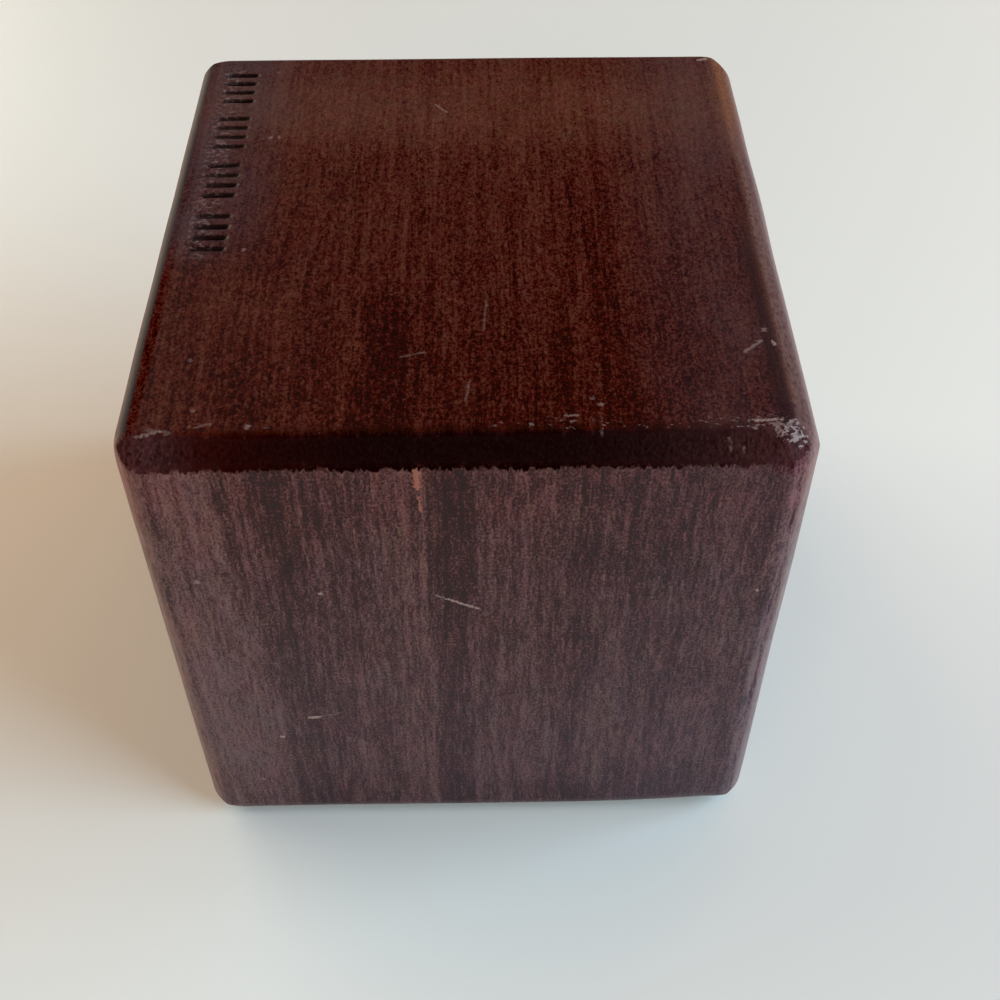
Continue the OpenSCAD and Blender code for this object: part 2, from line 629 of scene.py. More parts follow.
@dataclass(frozen=True)
class NodeWorks:
    """Adds nodes to one tree."""

    tree: bpy.types.NodeTree

    def add(
        self,
        kind: str,
        settings: dict[str, Any] | None = None,
        inputs: dict[str | int, Any] | None = None,
    ) -> bpy.types.Node:
        """Adds a node.

        Args:
            kind: The node's type.
            settings: Its properties, which are set first.
            inputs: Values, wires or sockets for its inputs, by name or number.

        Returns:
            The node.
        """
        node = self.tree.nodes.new(kind)
        for name, value in (settings or {}).items():
            setattr(node, name, value)
        for name, value in (inputs or {}).items():
            if isinstance(value, Wire):
                value = value.socket
            if isinstance(value, bpy.types.NodeSocket):
                self.tree.links.new(value, node.inputs[name])
            else:
                node.inputs[name].default_value = value
        return node

    def math(self, operation: str, *terms: Number) -> Wire:
        """Adds a Math node and gives its result."""
        node = self.add("ShaderNodeMath", {"operation": operation}, dict(enumerate(terms)))
        return Wire(self, node.outputs[0])

    def vector(self, operation: str, *terms: Any) -> bpy.types.NodeSocket:
        """Adds a Vector Math node and gives its vector."""
        node = self.add("ShaderNodeVectorMath", {"operation": operation}, dict(enumerate(terms)))
        return node.outputs["Vector"]

    def scaled(self, vector: Any, factor: Number) -> bpy.types.NodeSocket:
        """Vector times a number."""
        node = self.add("ShaderNodeVectorMath", {"operation": "SCALE"}, {0: vector, "Scale": factor})
        return node.outputs["Vector"]

    def measure(self, operation: str, first: Any, second: Any) -> Wire:
        """Adds a Vector Math node that gives one value for two vectors, such as their distance."""
        node = self.add("ShaderNodeVectorMath", {"operation": operation}, {0: first, 1: second})
        return Wire(self, node.outputs["Value"])

    def join(self, x: Number, y: Number, z: Number) -> bpy.types.NodeSocket:
        """Makes a vector of three values."""
        return self.add("ShaderNodeCombineXYZ", None, {0: x, 1: y, 2: z}).outputs[0]

    def noise(self, place: Any, size: Triple, detail: float = 2.0, roughness: float = 0.5) -> Wire:
        """Cloudy noise that is centred on 0.

        Args:
            place: The vector that it is drawn over.
            size: Size of its clouds along each axis.
            detail: How many finer layers it has.
            roughness: How strong the finer layers are.

        Returns:
            The noise, between -0.5 and 0.5.
        """
        stretched = self.vector("DIVIDE", place, size)
        node = self.add(
            "ShaderNodeTexNoise",
            {"noise_dimensions": "3D"},
            {"Vector": stretched, "Scale": 1.0, "Detail": detail, "Roughness": roughness},
        )
        return Wire(self, node.outputs["Fac"]) - 0.5

    def noise_colour(self, place: Any, size: Triple, detail: float) -> bpy.types.NodeSocket:
        """Three noises at once, as a colour whose parts have a mean of a half.

        Args:
            place: The vector that it is drawn over.
            size: Size of its clouds along each axis.
            detail: How many finer layers it has.

        Returns:
            The colour.
        """
        stretched = self.vector("DIVIDE", place, size)
        settings = {"noise_dimensions": "3D"}
        inputs = {"Vector": stretched, "Scale": 1.0, "Detail": detail}
        return self.add("ShaderNodeTexNoise", settings, inputs).outputs["Color"]

    def coat(self, name: str) -> Wire:
        """Reads one of the mesh's own attributes."""
        return Wire(self, self.add("ShaderNodeAttribute", {"attribute_name": name}).outputs["Fac"])

    def mix(self, share: Number, under: Any, over: Any, blend: str = "MIX") -> bpy.types.NodeSocket:
        """Mixes two colours.

        Args:
            share: How much of the second shows.
            under: The first colour.
            over: The second colour.
            blend: Way of mixing.

        Returns:
            The mixed colour.
        """
        settings = {"data_type": "RGBA", "blend_type": blend, "clamp_factor": True}
        return self.add("ShaderNodeMix", settings, {0: share, 6: under, 7: over}).outputs[2]


def colour(red: float, green: float, blue: float) -> Colour:
    """Solid colour of three linear parts."""
    return (red, green, blue, 1.0)


# --- Finishes ---

# Near-black: the varnish of the front flat, and also the painted shade in the pressed bars.
DARK_VARNISH_AND_SHADE = colour(0.0045, 0.0001, 0.0001)
SCRATCHED = colour(0.3, 0.21, 0.2)
RUBBED_PALE = colour(0.26, 0.185, 0.175)
ORANGE_WOOD = colour(0.2, 0.07, 0.035)
VARNISH_IOR = 1.33


class Face(Enum):
    """The faces that carry marks, each by a place on it at X 0 and by the way along it."""

    TOP = ((0.0, 0.0, 59.0), (0.0, 1.0, 0.0))
    FRONT = ((0.0, -32.0, 0.0), (0.0, 0.0, 1.0))
    FLAT = ((0.0, -29.8, 59.0), (0.0, -0.707, -0.707))

    def point(self, across: float, along: float) -> Array:
        """Place on the face: across counts along X, and along counts along the face's own way."""
        origin, way = self.value
        return np.array(origin) + np.array((across, 0.0, 0.0)) + along * np.array(way)


class Shade(Enum):
    """What a mark shows, each by its colour and how much of it."""

    FAINT = (SCRATCHED, 0.22)
    PALE = (SCRATCHED, 0.42)
    BARE = (SCRATCHED, 0.8)
    WARM = (colour(0.34, 0.13, 0.085), 0.6)
    DARK = (DARK_VARNISH_AND_SHADE, 0.85)


@dataclass(frozen=True)
class Mark:
    """A scratch, chip or dot on a face.

    Attributes:
        face: The face that it is on.
        shade: What it shows.
        width: Its width.
        start: Its one end, as the place along X and the place along the face's own way.
        end: Its other end, or nothing for a dot.
    """

    face: Face
    shade: Shade
    width: float
    start: tuple[float, float]
    end: tuple[float, float] | None = None

    def distance(self, works: NodeWorks, place: bpy.types.NodeSocket) -> Wire:
        """Distance of a place from the nearest point of the line between the mark's ends.

        Args:
            works: The tree to add it to.
            place: The place.

        Returns:
            The distance.
        """
        start = self.face.point(*self.start)
        nearest = tuple(start)
        if self.end is not None:
            way = self.face.point(*self.end) - start
            pace = way / (way @ way)
            along = works.measure("DOT_PRODUCT", place, tuple(pace)) - start @ pace
            reach = works.scaled(tuple(way), along.most(0.0).least(1.0))
            nearest = works.vector("ADD", reach, tuple(start))
        return works.measure("DISTANCE", place, nearest)


@dataclass(frozen=True)
class Grain:
    """The wood's own pattern and what else the finish reads at each place, as wires.

    Attributes:
        works: The tree that it is laid out in.
        point: Place on the block, in millimetres.
        x: Its part along X.
        y: Its part along Y.
        z: Its part along Z.
        off_middle: How far it is from the middle, along X.
        level: How level the surface is: 1 on the top and the bottom, 0 on the sides.
        end: How much of the surface is end grain, seen from above or below.
        flat: How far inside the front flat it is, or outside where it is negative.
        rounded: How rounded the surface is: 0 on a face, 1 halfway round an edge.
        worn: How much the edge is rubbed there, which the front flat's own edges aren't.
        pressed: How deep it is pressed in by a bar, as a share.
        layer: Place across the growth layers, which bend a little.
        broad: Wide soft layers.
        layers: Growth layers about a millimetre wide.
        lines: Fine dark and pale lines along the layers.
        fibre: Upright fibres.
        streak: Longer and wider upright fibres.
        mottle: Worm-like specks of the end grain.
        speck: The finest specks.
        cloud: Soft patches of more or less stain.
        tint: Slow changes of hue, as a factor for each colour.
    """

    works: NodeWorks
    point: bpy.types.NodeSocket
    x: Wire
    y: Wire
    z: Wire
    off_middle: Wire
    level: Wire
    end: Wire
    flat: Wire
    rounded: Wire
    worn: Wire
    pressed: Wire
    layer: Wire
    broad: Wire
    layers: Wire
    lines: Wire
    fibre: Wire
    streak: Wire
    mottle: Wire
    speck: Wire
    cloud: Wire
    tint: bpy.types.NodeSocket


def grain_of(works: NodeWorks) -> Grain:
    """Lays out the wood's pattern: growth layers square to X, and fibres along Z.

    Args:
        works: The tree to add it to.

    Returns:
        The pattern. Each noise is centred on 0.
    """
    point = works.scaled(works.add("ShaderNodeTexCoord").outputs["Object"], 1.0 / MM)
    parts = works.add("ShaderNodeSeparateXYZ", None, {0: point}).outputs
    x, y, z = (Wire(works, part) for part in parts)
    level, flat, rounded = (works.coat(name) for name in ("end_grain", "flat", "rounded"))
    bend = works.noise(point, (30.0, 50.0, 40.0), 1.0)
    waver = works.noise(point, (5.0, 12.0, 9.0), 1.0)
    layer = x + 2.4 * bend + 0.9 * waver
    growth = works.join(layer, y, z)
    hue = works.vector("SUBTRACT", works.noise_colour(point, (1.8, 2.2, 3.5), 3.0), (0.5, 0.5, 0.5))
    wavy = works.vector("ADD", point, works.scaled(hue, 1.1))
    return Grain(
        works=works,
        point=point,
        x=x,
        y=y,
        z=z,
        off_middle=abs(x),
        level=level,
        end=level.step(0.35, 0.9),
        flat=flat,
        rounded=rounded,
        worn=rounded.step(0.05, 0.35) * flat.step(-0.1, -0.8),
        pressed=works.coat("pressed"),
        layer=layer,
        broad=works.noise(growth, (5.0, 60.0, 50.0)),
        layers=works.noise(growth, (1.3, 22.0, 16.0), 2.0, 0.55),
        lines=works.noise(growth, (0.38, 13.0, 17.0), 2.0, 0.6),
        fibre=works.noise(wavy, (0.26, 0.26, 1.3), 2.0, 0.65),
        streak=works.noise(wavy, (0.5, 0.5, 6.0), 2.0, 0.6),
        mottle=works.noise(point, (0.27, 0.62, 0.4), 2.0, 0.65),
        speck=works.noise(point, (0.22, 0.26, 0.3), 1.0, 0.6),
        cloud=works.noise(point, (7.0, 9.0, 14.0)),
        tint=works.vector("ADD", works.scaled(hue, 0.48), (1.0, 1.0, 1.0)),
    )


@dataclass(frozen=True)
class Pattern:
    """How strongly each noise of the wood shows. They go by their names in Grain."""

    broad: float = 0.0
    layers: float = 0.0
    lines: float = 0.0
    fibre: float = 0.0
    streak: float = 0.0
    mottle: float = 0.0
    speck: float = 0.0
    cloud: float = 0.0

    def over(self, grain: Grain) -> Number:
        """Sum of the noises, each times its strength."""
        shown = {name: strength for name, strength in asdict(self).items() if strength}
        return sum(strength * getattr(grain, name) for name, strength in shown.items())


@dataclass(frozen=True)
class Ramp:
    """A change along one axis.

    Attributes:
        axis: The axis, or another wire of Grain, by its name.
        start: Where the change begins.
        full: Where it is complete, on either side of the start.
        lift: How much it adds there.
    """

    axis: str
    start: float
    full: float
    lift: float = 1.0

    def over(self, grain: Grain) -> Wire:
        """What it adds at each place."""
        return self.lift * getattr(grain, self.axis).step(self.start, self.full)


@dataclass(frozen=True)
class Band:
    """A growth layer that took the stain more or less than the rest.

    Attributes:
        middle: Where it stands along X.
        reach: Half its width.
        lift: How much lighter it is, or darker where it is negative.
        core: Share of its half width that has the whole lift.
    """

    middle: float
    reach: float
    lift: float
    core: float = 0.2

    def over(self, grain: Grain) -> Wire:
        """What it adds at each place."""
        return self.lift * (abs(grain.layer - self.middle) / self.reach).step(1.0, self.core)


@dataclass(frozen=True)
class Patch:
    """A part of the surface where another colour shows through.

    Attributes:
        tone: The colour.
        amount: How much of it shows.
        borders: Its soft borders.
        broken: How the wood's pattern breaks it up.
        rubbed: Whether it keeps to the rubbed edges.
    """

    tone: Colour
    amount: float
    borders: tuple[Ramp, ...]
    broken: Pattern = Pattern()
    rubbed: bool = True

    def over(self, grain: Grain, wood: bpy.types.NodeSocket) -> bpy.types.NodeSocket:
        """Lays the patch over a colour.

        Args:
            grain: The wood's pattern.
            wood: The colour.

        Returns:
            The colour with the patch.
        """
        share = self.amount + self.broken.over(grain)
        for border in self.borders:
            share = share * border.over(grain)
        return grain.works.mix(share * grain.worn if self.rubbed else share, wood, self.tone)


@dataclass(frozen=True)
class Stain:
    """How one kind of grain took the stain.

    Attributes:
        deep: Its colour where it is soaked.
        pale: Its colour where the stain is worn thin.
        base: How far it is from deep to pale, before all else.
        pattern: How strongly the noises show in that.
        ramps: How it changes along the axes.
        film_and_sheen: Colour of the film that worn varnish leaves on it, which also paints the
            sheen that the varnish reflects: painted reflection.
        film_and_sheen_broken: How the noises break the film and its painted sheen up.
    """

    deep: Colour
    pale: Colour
    base: float
    pattern: Pattern
    ramps: tuple[Ramp, ...]
    film_and_sheen: Colour
    film_and_sheen_broken: Pattern

    def share(self, grain: Grain) -> Wire:
        """How far from deep to pale the wood is at each place."""
        return self.base + self.pattern.over(grain) + sum(ramp.over(grain) for ramp in self.ramps)

    def toned(self, grain: Grain, share: Wire, pit: Colour) -> bpy.types.NodeSocket:
        """Colour of the wood: from deep to pale by a share, and down to the pores where it is negative.

        Args:
            grain: The wood's pattern, which gives the changes of hue.
            share: How pale it is.
            pit: Colour of the darkest pores.

        Returns:
            The colour.
        """
        works = grain.works
        under = works.mix(share * 7.0 + 1.0, pit, self.deep)
        return works.mix(1.0, works.mix(share, under, self.pale), grain.tint, "MULTIPLY")

    def with_film_and_sheen(self, grain: Grain, film_and_sheen: Wire, wood: bpy.types.NodeSocket) -> bpy.types.NodeSocket:
        """Lays the film and its painted sheen over a colour, by how much of it there is."""
        return grain.works.mix(film_and_sheen * (1.0 + self.film_and_sheen_broken.over(grain)), wood, self.film_and_sheen)


@dataclass(frozen=True)
class StainedWood:
    """Dark red-brown stained wood, with its growth layers square to X and its fibres upright.

    Attributes:
        marks: The scratches, chips and dots.
        side: The stain of the side grain, with a bluish film that is partly painted reflection of
            the window-lit table.
        top: The stain of the end grain, paler towards the back, with a grey film that is partly
            painted sheen.
        bands: The growth layers that stand out on the sides.
        pit: The darkest pores.
        upper_tint: How much warmer the sides are near the top, as a factor for each colour.
        flat_worn: The front flat where its varnish is rubbed thin, at its ends.
        flat_red: The stain that shows through it near its left end.
        bare: Wood with its stain chipped off, which along the flat's upper arris also paints its
        highlight.
        rubbed_side: The upright edges, where they are rubbed the most.
        rims: What shows along the rims of the top, each patch over the last; the greys of the left
        rim are painted reflection.
        flat_half: Half the length of the front flat, at whose ends the varnish is thinnest.
        knocked_corner: Middle of the corner that has taken the most knocks.
        flaked_middle: Middle of the strip beside the pressed bars where small flakes are off.
        flaked_half: Half the size of that strip.
        relief: How the noises raise and lower the surface.
        relief_depth: How deep that goes.
        rough: Roughness of the varnish.
        rough_pattern: How the noises change that.
        matte_rough: Roughness where the varnish has lost its gloss.
    """

    marks: tuple[Mark, ...]
    side: Stain = Stain(
        deep=colour(0.028, 0.0004, 0.0015),
        pale=colour(0.139, 0.0745, 0.079),
        base=0.12,
        pattern=Pattern(broad=0.1, layers=0.5, lines=0.72, fibre=1.4, streak=1.1, speck=1.8, cloud=0.2),
        ramps=(Ramp("z", 56.0, 16.0, 0.14), Ramp("z", 12.0, 4.0, -0.12), Ramp("z", 55.0, 56.6, 0.1)),
        film_and_sheen=colour(0.03, 0.055, 0.11),
        film_and_sheen_broken=Pattern(cloud=1.2, speck=1.5),
    )
    top: Stain = Stain(
        deep=colour(0.039, 0.0002, 0.0),
        pale=colour(0.142, 0.053, 0.033),
        base=0.02,
        pattern=Pattern(broad=0.1, layers=0.35, lines=0.75, mottle=1.15, speck=1.1, cloud=0.15),
        ramps=(
            Ramp("y", -22.0, -8.0, 0.06),
            Ramp("y", -10.0, 8.0, 0.1),
            Ramp("y", 8.0, 19.0, 0.26),
            Ramp("y", 22.0, 29.0, -0.16),
            Ramp("x", 18.0, 23.0, 0.08),
        ),
        film_and_sheen=colour(0.055, 0.045, 0.058),
        film_and_sheen_broken=Pattern(cloud=1.5, speck=2.0),
    )
    bands: tuple[Band, ...] = (
        Band(-24.6, 5.4, 0.33),
        Band(-17.2, 2.6, -0.15),
        Band(-12.0, 1.6, -0.02),
        Band(-6.6, 2.2, 0.12),
        Band(-4.6, 0.5, 0.2),
        Band(-2.0, 2.4, -0.2),
        Band(5.0, 2.4, 0.05),
        Band(9.8, 2.2, -0.06),
        Band(13.4, 0.6, 0.1),
        Band(25.0, 6.5, 0.07),
    )
    pit: Colour = colour(0.011, 0.0, 0.0)
    upper_tint: Colour = colour(1.08, 0.87, 0.84)
    flat_worn: Colour = colour(0.064, 0.021, 0.023)
    flat_red: Colour = colour(0.044, 0.003, 0.0025)
    bare: Colour = colour(0.31, 0.24, 0.25)
    rubbed_side: Patch = Patch(
        RUBBED_PALE, 0.85, (Ramp("off_middle", 28.0, 29.5),), Pattern(streak=1.0, fibre=0.8)
    )
    rims: tuple[Patch, ...] = (
        # Warm wood at the back right
        Patch(
            ORANGE_WOOD, 0.6, (Ramp("x", 22.0, 28.0), Ramp("y", 6.0, 20.0)), Pattern(mottle=2.0)
        ),
        # Wood rubbed pale along the right
        Patch(
            colour(0.12, 0.062, 0.058),
            0.8,
            (Ramp("x", 25.8, 28.0), Ramp("y", 26.0, 4.0)),
            Pattern(mottle=3.0),
        ),
        # A line of dirt beside that
        Patch(
            colour(0.02, 0.009, 0.012),
            0.7,
            (Ramp("x", 25.4, 26.6), Ramp("x", 27.8, 26.8), Ramp("y", 6.0, -10.0)),
            Pattern(mottle=2.0),
            rubbed=False,
        ),
        # The outermost part of the right rim
        Patch(RUBBED_PALE, 1.0, (Ramp("x", 28.9, 29.7), Ramp("y", 26.0, 4.0))),
        # The left rim, rubbed, and its outermost part: their dark and paler greys are painted
        # reflection of the light from the left
        Patch(colour(0.032, 0.022, 0.023), 1.0, (Ramp("x", -27.8, -28.6),)),
        Patch(colour(0.085, 0.08, 0.075), 1.0, (Ramp("x", -29.0, -29.5),)),
    )
    flat_half: float = 29.5
    knocked_corner: Triple = (27.6, -30.2, 58.8)
    flaked_middle: tuple[float, float] = (-26.0, 11.2)
    flaked_half: tuple[float, float] = (1.9, 18.0)
    relief: Pattern = Pattern(fibre=0.7, mottle=0.6, lines=0.4)
    relief_depth: float = 0.1
    rough: float = 0.4
    rough_pattern: Pattern = Pattern(fibre=0.3, mottle=0.2)
    matte_rough: float = 0.8

    def side_wood(self, grain: Grain) -> bpy.types.NodeSocket:
        """Colour of the side grain: bands, layers and upright fibres, with more film lower down.

        The film grows towards the right too, where it is painted reflection of the window-lit table.

        Args:
            grain: The wood's pattern.

        Returns:
            The colour.
        """
        works = grain.works
        share = self.side.share(grain) + sum(band.over(grain) for band in self.bands)
        share = share + Ramp("x", 2.0, 14.0, -0.17).over(grain) * grain.lines
        share = share + grain.worn * (0.4 + Pattern(streak=1.0, fibre=1.0).over(grain))
        wood = self.side.toned(grain, share, self.pit)
        wood = self.rubbed_side.over(grain, wood)
        warm = 0.2 + Band(-6.2, 3.4, 0.8, core=0.4).over(grain)
        warm = warm * (grain.lines + grain.streak).step(0.06, 0.36)
        warm = warm * (0.1 + Ramp("z", 16.0, 48.0, 0.12).over(grain))
        wood = works.mix(warm, wood, ORANGE_WOOD)
        # Partly painted reflection: the bluish film that grows towards the right stands in for the cool
        # sheen of the window-lit table on the varnish; lower down it is the film of worn varnish.
        film_and_sheen = Ramp("z", 50.0, 14.0, 0.08).over(grain) + Ramp("x", 2.0, 24.0, 0.08).over(grain)
        wood = self.side.with_film_and_sheen(grain, film_and_sheen, wood)
        return works.mix(grain.z.step(42.0, 56.0), wood, self.upper_tint, "MULTIPLY")

    def end_wood(self, grain: Grain) -> bpy.types.NodeSocket:
        """Colour of the end grain: worm-like specks and lines along Y, with its rims rubbed.

        Its film towards the left, the right and the back is partly painted sheen, and the greys of
        its left rim are painted reflection.

        Args:
            grain: The wood's pattern.

        Returns:
            The colour.
        """
        x, y = grain.x, grain.y
        share = self.top.share(grain)
        share = share + Band(-7.8, 3.0, -0.14, core=0.4).over(grain) * y.step(-8.0, -18.0)
        share = share + Ramp("x", -11.0, -14.0, 0.08).over(grain) * y.step(0.0, -16.0)
        wood = self.top.toned(grain, share, self.pit)
        # Partly painted sheen: the grey film towards the left, the right and the back stands in for the
        # light that the varnish reflects there, as well as the film of worn varnish.
        film_and_sheen = Ramp("x", -17.0, -26.0, 0.38).over(grain) * y.step(-10.0, 0.0)
        film_and_sheen = film_and_sheen + Ramp("x", 12.0, 24.0, 0.24).over(grain)
        film_and_sheen = film_and_sheen + Ramp("y", 8.0, 22.0, 0.08).over(grain) * x.step(10.0, -20.0)
        wood = self.top.with_film_and_sheen(grain, film_and_sheen, wood)
        for rim in self.rims:
            wood = rim.over(grain, wood)
        return wood

    def flat_cover(self, grain: Grain) -> Wire:
        """How much of the dark varnish covers each place: all of the front flat.

        Its lower border is sharp and ragged with fibre ends, and its upper border is rubbed soft.

        Args:
            grain: The wood's pattern.

        Returns:
            The share that is covered.
        """
        ragged = grain.flat + 0.05 + Pattern(streak=1.3, fibre=0.5, layers=0.6).over(grain)
        lower = ragged.step(-0.1, 0.1)
        upper = (grain.flat + Pattern(mottle=2.4, speck=1.4, layers=1.5).over(grain)).step(-0.5, 0.5)
        return lower + (upper - lower) * grain.level.step(0.62, 0.8)

    def flat_varnish(self, grain: Grain) -> bpy.types.NodeSocket:
        """Colour of the varnish on the front flat, which is rubbed thin towards its ends.

        Args:
            grain: The wood's pattern.

        Returns:
            The colour.
        """
        works = grain.works
        ends = (grain.off_middle / self.flat_half) ** 3.0 * (0.8 + 3.0 * grain.mottle)
        ends = ends + 0.2 * grain.speck
        reddish = grain.x.step(-4.0, -8.0) * grain.x.step(-27.0, -21.0)
        return works.mix(ends, DARK_VARNISH_AND_SHADE, works.mix(reddish, self.flat_worn, self.flat_red))

    def marked(self, grain: Grain, wood: bpy.types.NodeSocket) -> bpy.types.NodeSocket:
        """Adds the marks to a colour, with widths that come and go, so that they break into crumbs.

        Args:
            grain: The wood's pattern.
            wood: The colour under the marks.

        Returns:
            The colour with its marks.
        """
        works = grain.works
        hue = works.noise_colour(grain.point, (0.4, 0.4, 0.4), 1.0)
        shift = works.scaled(works.vector("SUBTRACT", hue, (0.5, 0.5, 0.5)), 0.35)
        place = works.vector("ADD", grain.point, shift)
        crumb = 0.5 + 1.5 * works.noise(grain.point, (0.25, 0.25, 0.25), 1.0)
        widths = {width: width * crumb for width in sorted({mark.width for mark in self.marks})}
        for shade in Shade:
            depths = [
                widths[mark.width] - mark.distance(works, place)
                for mark in self.marks
                if mark.shade is shade
            ]
            if depths:
                tone, strength = shade.value
                inside = reduce(Wire.most, depths)
                wood = works.mix(inside.step(-0.1, 0.08) * strength, wood, tone)
        return wood

    def chips_and_highlight(self, grain: Grain) -> Wire:
        """How much small chips and the painted arris highlight cover each place.

        They lie along the upper arris of the flat, at its right corner and round the pressed bars.
        Along the arris their pale flecks also stand in for the highlight on its rounding: painted
        highlight.

        Args:
            grain: The wood's pattern.

        Returns:
            The share that is chipped, with the painted arris highlight.
        """
        works, flat = grain.works, grain.flat
        flake = works.noise(grain.point, (0.5, 0.3, 0.3), 2.0, 0.65)
        near = (flat + 0.7).step(-0.9, 0.0) * flat.step(0.35, 0.0) * grain.level.step(0.68, 0.8)
        more = Ramp("x", -4.0, 8.0, 0.06).over(grain) + Ramp("x", 16.0, 26.0, 0.06).over(grain)
        # Partly painted highlight: pale flecks along the flat's upper arris, more at the middle and the
        # right, stand in for the highlight on its rounding as well as for chipped varnish.
        line = (flake + more - 0.18 - 0.3 * (1.0 - near)).step(0.0, 0.08)
        knocked = works.measure("DISTANCE", grain.point, self.knocked_corner).step(2.6, 0.6)
        knocks = (flake + 0.24 * knocked - 0.22).step(0.0, 0.08) * knocked.step(0.0, 0.2)
        chipped = works.coat("chipped")
        deep = (chipped * 1.2 + 1.6 * flake - 0.6).step(0.0, 0.2) * chipped
        off_x, off_y = (
            abs(place - middle) / half
            for place, middle, half in zip((grain.x, grain.y), self.flaked_middle, self.flaked_half)
        )
        beside = off_x.step(1.0, 0.3) * off_y.step(1.0, 0.9)
        flaked = (flake - 0.02).step(0.0, 0.1) * beside * (1.0 - grain.pressed.least(1.0))
        return reduce(Wire.most, (line * 0.35, knocks * 0.7, deep.least(1.0) * 0.7, flaked * 0.3))

    def dullness(self, grain: Grain, cover: Wire, chips_and_highlight: Wire) -> Wire:
        """How far the varnish has lost its gloss: on the top, the edges, the bars, chips and knocks.

        Args:
            grain: The wood's pattern.
            cover: How much of the dark varnish covers each place.
            chips_and_highlight: How much small chips and the painted arris highlight cover it.

        Returns:
            The share that is matte.
        """
        left = grain.x.step(-27.4, -28.0) * (1.0 - 0.24 * grain.x.step(-28.5, -29.3))
        knocked = grain.works.measure("DISTANCE", grain.point, self.knocked_corner)
        spots = (
            grain.rounded.step(0.1, 0.6) * 0.8 * (1.0 - cover),
            grain.pressed.least(1.0) * 0.8,
            abs(grain.flat).step(0.5, 0.25) * cover,
            chips_and_highlight,
            left * grain.end.step(0.0, 0.2),
            knocked.step(4.4, 3.2) * 0.9,
        )
        return reduce(Wire.most, spots, 0.12 + 0.45 * grain.end)

    def material(self) -> bpy.types.Material:
        """Builds the node tree of the finish: a varnished and a matte surface, mixed by dullness.

        Returns:
            The material.
        """
        made = bpy.data.materials.new(SLOT)
        made.use_nodes = True
        made.node_tree.nodes.clear()
        works = NodeWorks(made.node_tree)
        grain = grain_of(works)
        cover, chips_and_highlight = self.flat_cover(grain), self.chips_and_highlight(grain)
        pressed = grain.pressed
        wood = works.mix(grain.end, self.side_wood(grain), self.end_wood(grain))
        wood = works.mix(cover, wood, self.flat_varnish(grain))
        # Painted shade: the pressed bars are darkened towards the near-black varnish, most at their right
        # ends, where shade falls in the grooves.
        groove_shade = pressed.step(0.05, 0.45) * (0.65 + 0.35 * grain.x.step(-27.5, -24.5))
        wood = works.mix(groove_shade, wood, DARK_VARNISH_AND_SHADE)
        # Pale chips, which along the flat's upper arris are partly painted highlight.
        wood = self.marked(grain, works.mix(chips_and_highlight, wood, self.bare))

        relief = self.relief.over(grain) * (1.0 - 0.8 * grain.flat.step(0.0, 0.2))
        heights = {"Height": relief, "Strength": 0.3, "Distance": self.relief_depth * MM}
        bump = works.add("ShaderNodeBump", None, heights)
        rough = self.rough + self.rough_pattern.over(grain)
        rough = rough - 0.16 * cover + 0.3 * pressed.least(1.0)
        varnished = works.add(
            "ShaderNodeBsdfPrincipled",
            None,
            {"Base Color": wood, "Roughness": rough, "IOR": VARNISH_IOR, "Normal": bump.outputs[0]},
        )
        matte = works.add(
            "ShaderNodeBsdfPrincipled",
            None,
            {
                "Base Color": wood,
                "Roughness": self.matte_rough,
                "IOR": VARNISH_IOR,
                "Specular IOR Level": 0.0,
            },
        )
        shares = {0: self.dullness(grain, cover, chips_and_highlight), 1: varnished.outputs[0], 2: matte.outputs[0]}
        both = works.add("ShaderNodeMixShader", None, shares)
        works.add("ShaderNodeOutputMaterial", None, {"Surface": both.outputs[0]})
        return made


# --- Studio ---


@dataclass(frozen=True)
class TableTop:
    """Pale smooth table.

    Attributes:
        reach: Half the table's width.
        paint: Colour of its surface.
        roughness: How rough that is.
    """

    reach: float = 900.0
    paint: Colour = colour(0.78, 0.78, 0.78)
    roughness: float = 0.45

    def build(self) -> bpy.types.Object:
        """Makes the table's flat top, a single square, with its finish.

        Returns:
            The object.
        """
        corners = np.array([[-1, -1, 0], [1, -1, 0], [1, 1, 0], [-1, 1, 0]], dtype=float)
        mesh = bpy.data.meshes.new("table_top")
        mesh.from_pydata(corners * self.reach * MM, [], [(0, 1, 2, 3)])
        made = bpy.data.materials.new("table_top")
        made.use_nodes = True
        shader = made.node_tree.nodes["Principled BSDF"]
        shader.inputs["Base Color"].default_value = self.paint
        shader.inputs["Roughness"].default_value = self.roughness
        mesh.materials.append(made)
        piece = bpy.data.objects.new("table_top", mesh)
        bpy.context.collection.objects.link(piece)
        return piece


@dataclass(frozen=True)
class Softbox:
    """A soft rectangular lamp that faces the block from afar.

    Attributes:
        name: What it is for.
        turn: Its direction from the block, in degrees from +X towards +Y.
        rise: How high it stands, in degrees above the table.
        size: Its width and height.
        light: Light that reaches the block, in watts a square metre for each colour.
        distance: How far away it stands.
    """

    name: str
    turn: float
    rise: float
    size: tuple[float, float]
    light: Triple
    distance: float = 900.0

    def build(self) -> None:
        """Makes the lamp."""
        lamp = bpy.data.lights.new(self.name, "AREA")
        lamp.shape = "RECTANGLE"
        lamp.size, lamp.size_y = (side * MM for side in self.size)
        lamp.energy = max(self.light) * math.pi * (self.distance * MM) ** 2
        lamp.color = [part / max(self.light) for part in self.light]
        turn, rise = math.radians(self.turn), math.radians(self.rise)
        way = (math.cos(rise) * math.cos(turn), math.cos(rise) * math.sin(turn), math.sin(rise))
        piece = bpy.data.objects.new(self.name, lamp)
        piece.matrix_world = facing_back(way, self.distance)
        bpy.context.collection.objects.link(piece)


